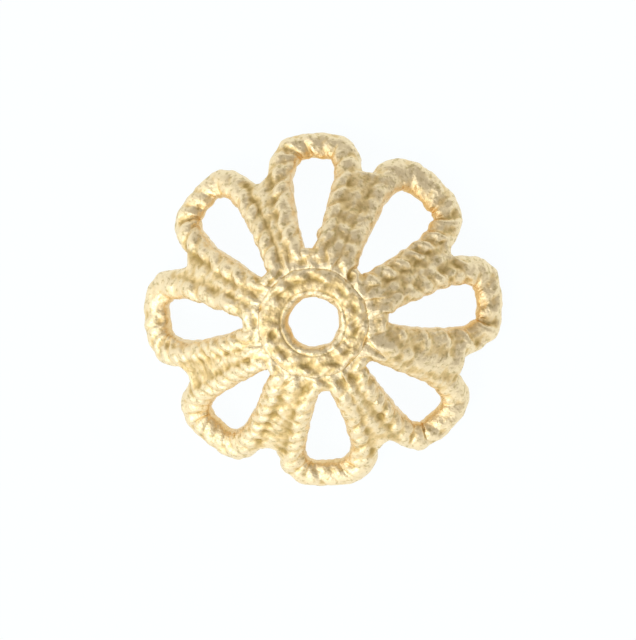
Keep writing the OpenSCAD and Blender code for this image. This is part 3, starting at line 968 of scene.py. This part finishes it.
@dataclass(frozen=True)
class GoldPlate:
    """Pale gold plating on a cast surface: lighter worn crests, grooves darkened by painted shade, painted
    warm reflection on the walls, fine grain.
    """

    # crest, body and groove follow the hollow measure: lighter worn crests, and darker grooves that are
    # painted shade
    crest: Colour = (0.945, 0.803, 0.528)
    body: Colour = (0.845, 0.66, 0.349)
    groove: Colour = (0.50, 0.36, 0.13)
    # wall: colour of the painted warm reflection on the walls of the windows and the bore
    wall: Colour = (0.85, 0.57, 0.22)
    spot: Colour = (0.55, 0.44, 0.20)
    crest_rough: float = 0.44
    groove_rough: float = 0.58
    crest_at: float = 0.28
    body_at: float = 0.52
    groove_at: float = 0.92
    blotch_size: float = 0.7 * MM
    blotch_share: float = 0.5
    spot_size: float = 0.13 * MM
    most_spot: float = 0.75
    grain_size: float = 0.07 * MM
    grain_depth: float = 0.014 * MM
    dent_size: float = 0.22 * MM
    dent_depth: float = 0.055 * MM

    def material(self) -> bpy.types.Material:
        """Build the plating's node material."""
        mat = bpy.data.materials.new("pale_gold_plate")
        mat.use_nodes = True
        mat.node_tree.nodes.clear()
        wiring = Wiring(mat.node_tree)
        place = wiring.node("ShaderNodeTexCoord", {}).outputs["Object"]
        blotch = wiring.noise(place, self.blotch_size, 3)
        # noise is a half on the whole, so this takes off what the blotches add
        hollow = wiring.node("ShaderNodeMath", {0: wiring.measure("hollow"), 1: self.blotch_share / 2},
                             operation="SUBTRACT").outputs[0]
        depth = wiring.node("ShaderNodeMath", {0: blotch, 1: self.blotch_share, 2: hollow},
                            operation="MULTIPLY_ADD").outputs[0]
        # the tone darkens as the hollow measure grows: painted shade in the grooves
        tone = wiring.node("ShaderNodeValToRGB", {"Fac": depth})
        crest, groove = tone.color_ramp.elements
        crest.position, crest.color = self.crest_at, (*self.crest, 1)
        groove.position, groove.color = self.groove_at, (*self.groove, 1)
        tone.color_ramp.elements.new(self.body_at).color = (*self.body, 1)
        spots = wiring.mapped(wiring.noise(place, self.spot_size, 2), (0.5, 0.72), (0.0, self.most_spot))
        spotted = wiring.blend(spots, tone.outputs["Color"], self.spot)
        # blend in the painted warm reflection on the walls of the windows and the bore
        coloured = wiring.blend(wiring.measure("inside"), spotted, self.wall)
        rough = wiring.mapped(depth, (0.2, 0.9), (self.crest_rough, self.groove_rough), "LINEAR")
        grain = wiring.node("ShaderNodeBump", {"Strength": 0.8, "Distance": self.grain_depth,
                                               "Height": wiring.noise(place, self.grain_size, 4)})
        dents = wiring.node("ShaderNodeBump", {"Strength": 0.9, "Distance": self.dent_depth,
                                               "Height": wiring.noise(place, self.dent_size, 2),
                                               "Normal": grain.outputs["Normal"]})
        metal = wiring.node("ShaderNodeBsdfPrincipled", {
            "Metallic": 1.0, "Base Color": coloured, "Roughness": rough, "Normal": dents.outputs["Normal"]})
        wiring.node("ShaderNodeOutputMaterial", {"Surface": metal.outputs["BSDF"]})
        return mat


@dataclass(frozen=True)
class PaleSheet:
    """Matt white sheet under the cap, lit a little from below."""

    tone: Colour = (0.06, 0.06, 0.06)
    glow: Colour = (0.955, 0.985, 1.0)
    glow_power: float = 0.97

    def material(self) -> bpy.types.Material:
        """Build the sheet's material."""
        mat = bpy.data.materials.new("white_sheet")
        mat.use_nodes = True
        shader = mat.node_tree.nodes["Principled BSDF"]
        looks = {"Base Color": self.tone, "Roughness": 0.9, "Specular IOR Level": 0.0,
                 "Emission Color": self.glow, "Emission Strength": self.glow_power}
        for label, value in looks.items():
            Wiring(mat.node_tree).feed(shader.inputs[label], value)
        return mat


# Studio

@dataclass(frozen=True)
class SoftBox:
    """A square light that faces the cap from a direction."""

    name: str
    azimuth: float
    elevation: float
    distance: float
    width: float
    power: float
    tint: Colour

    def hang(self) -> bpy.types.Object:
        """Add the light to the scene."""
        light = bpy.data.lights.new(self.name, "AREA")
        light.shape = "SQUARE"
        light.size = self.width
        light.energy = self.power
        light.color = self.tint
        lamp = add_object(self.name, light)
        turn, up = math.radians(self.azimuth), math.radians(self.elevation)
        away = np.array([math.cos(turn) * math.cos(up), math.sin(turn) * math.cos(up), math.sin(up)])
        lamp.matrix_world = facing(away * self.distance, away)
        return lamp


def facing(place: Array, back: Array, up: Array = np.array([0.0, 1.0, 0.0])) -> Matrix:
    """Matrix of a light or camera at a place, looking along minus back, its top towards up."""
    back = unit(back)
    right = unit(np.cross(up, back))
    top = np.cross(back, right)
    rows = [[right[n], top[n], back[n], place[n]] for n in range(3)] + [[0, 0, 0, 1]]
    return Matrix(rows)


@dataclass(frozen=True)
class Studio:
    """Floor, soft light and the camera at the photograph's view."""

    tilt: float = 10.5
    tilt_dir: float = 56.0
    distance: float = 400 * MM
    pixels_per_mm: float = 36.2
    frame_w: float = 636.0
    frame_h: float = 640.0
    hole_x: float = 313.5
    hole_y: float = 322.6
    bright_side: Colour = (1.22, 1.22, 1.22)
    dark_side: Colour = (0.45, 0.42, 0.385)
    horizon: Colour = (1.0, 0.98, 0.95)
    bright_dir: tuple[float, float, float] = (-0.707, -0.707, 0.0)
    shade_span: tuple[float, float] = (-0.3, 0.5)
    horizon_span: tuple[float, float] = (0.08, 0.30)
    floor_half: float = 0.3
    lights: tuple[SoftBox, ...] = (
        SoftBox("key_box", 222.0, 48.0, 0.25, 0.10, 0.11, (1.0, 0.99, 0.96)),
        SoftBox("top_box", 150.0, 74.0, 0.25, 0.06, 0.02, (1.0, 1.0, 1.0)),
    )

    def floor(self) -> bpy.types.Object:
        """Lay the white sheet, a flat square in the plane that the tips rest on."""
        half = self.floor_half
        mesh = bpy.data.meshes.new("floor")
        corners = [(-half, -half, 0), (half, -half, 0), (half, half, 0), (-half, half, 0)]
        mesh.from_pydata(corners, [], [(0, 1, 2, 3)])
        sheet = add_object("floor", mesh)
        mesh.materials.append(PaleSheet().material())
        return sheet

    def sky(self) -> None:
        """Set the surround: pale on the side of the light, dimmer across from it."""
        world = bpy.data.worlds.new("surround")
        world.use_nodes = True
        wiring = Wiring(world.node_tree)
        place = wiring.node("ShaderNodeTexCoord", {}).outputs["Generated"]
        toward = wiring.node("ShaderNodeVectorMath", {0: place, 1: self.bright_dir}, operation="DOT_PRODUCT")
        share = wiring.mapped(toward.outputs["Value"], self.shade_span, (0.0, 1.0))
        sides = wiring.blend(share, self.dark_side, self.bright_side)
        height = wiring.node("ShaderNodeSeparateXYZ", {0: place}).outputs["Z"]
        low = wiring.mapped(height, self.horizon_span, (1.0, 0.0))
        background = world.node_tree.nodes["Background"]
        wiring.feed(background.inputs["Color"], wiring.blend(low, sides, self.horizon))
        bpy.context.scene.world = world

    def camera(self, hole_z: float) -> bpy.types.Object:
        """Stand the camera so that the hole falls where the photograph shows it.

        Args:
            hole_z: height of the hole's rim.

        Returns:
            The scene's camera.
        """
        lean, turn = math.radians(self.tilt), math.radians(self.tilt_dir)
        toward = np.array([math.cos(turn), math.sin(turn), 0.0])
        back = toward * math.sin(lean) + np.array([0, 0, math.cos(lean)])
        # the picture's upright, turned with the camera about the line square to the lean
        axis = np.array([-math.sin(turn), math.cos(turn), 0.0])
        upright = np.array([0.0, 1.0, 0.0])
        top = (upright * math.cos(lean) + np.cross(axis, upright) * math.sin(lean)
               + axis * (axis @ upright) * (1 - math.cos(lean)))
        right = np.cross(top, back)
        across = (self.frame_w / 2 - self.hole_x) / self.pixels_per_mm * MM
        rise = (self.hole_y - self.frame_h / 2) / self.pixels_per_mm * MM
        aim = np.array([0, 0, hole_z]) + right * across + top * rise
        view = bpy.data.cameras.new("camera")
        # the sensor spans the frame's longer side
        span = self.frame_h / self.pixels_per_mm * MM
        view.lens = view.sensor_width * self.distance / span
        view.clip_start, view.clip_end = 0.01, 5.0
        camera = add_object("camera", view)
        camera.matrix_world = facing(aim + back * self.distance, back, top)
        bpy.context.scene.camera = camera
        return camera


def dress(piece: bpy.types.Object, material: bpy.types.Material) -> None:
    """Give a piece its finish, hang it on the root body and hide the solid that it replaces."""
    piece.data.materials.append(material)
    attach(piece, "root")
    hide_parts(NODE)
    LOG.info("%s: %d vertices, %d faces", piece.name, len(piece.data.vertices), len(piece.data.polygons))


def main() -> None:
    """Build the cap's pieces in order, then the studio round them."""
    logging.basicConfig(level=logging.INFO, format="%(name)s %(message)s")
    sizes = CapSizes()
    dome = Dome(sizes)
    loops = PetalLoops(sizes, dome)
    # the crown's grid is finer, so its rounds are more
    # the crown's hollow measure is raised by a tenth, so it is darker and rougher all over
    rope_skin, crown_skin = CastSkin(), CastSkin(soften=12, hollow_rounds=60, hollow_offset=0.1)
    gold = GoldPlate().material()
    for name, form, skin in (("petal_filigree", Filigree(sizes, dome, loops), rope_skin),
                             ("crown_eyelet", Crown(sizes, dome, loops), crown_skin)):
        sharp, faces = form.build()
        points, hollow = skin.finish(sharp, faces)
        dress(new_piece(name, points, faces, hollow, sharp[:, 3]), gold)
    studio = Studio()
    studio.floor()
    studio.sky()
    for box in studio.lights:
        box.hang()
    studio.camera(float(dome.height(sizes.hole_r)))
    bpy.context.scene.view_settings.view_transform = "Standard"


if __name__ == "__main__":
    main()
